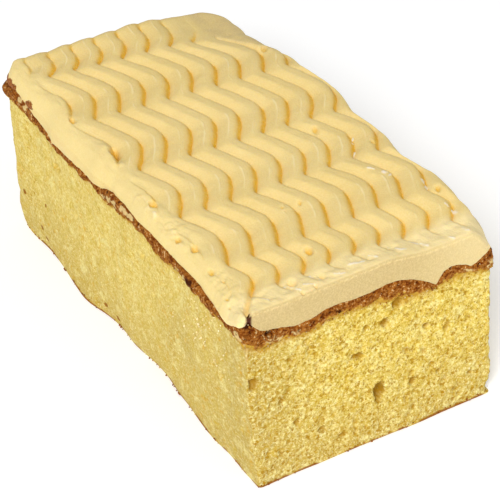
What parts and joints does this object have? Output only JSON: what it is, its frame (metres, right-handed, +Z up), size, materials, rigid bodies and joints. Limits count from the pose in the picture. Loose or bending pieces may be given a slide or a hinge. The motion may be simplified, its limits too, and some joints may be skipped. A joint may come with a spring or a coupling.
{
  "type": "bar cake",
  "caption": "Bar of citrus sponge cake with combed buttercream icing and a browned crust, cut flat at one end.",
  "frame": {"origin": "centre of the bar's box, on the face it stands on", "axes": "+Z up; +Y along the bar from the cut front face to the back; +X across the bar, to the right seen from the front face"},
  "size_m": [0.1046, 0.1914, 0.0767],
  "materials": {
    "sponge": "open yellow sponge crumb with small bubbles, browned at the crust under the icing",
    "icing": "pale orange-cream buttercream, satin where the comb passed, darker orange in the grooves"
  },
  "bodies": {
    "root": {"sponge": "sponge", "icing": "icing"}
  },
  "joints": []
}
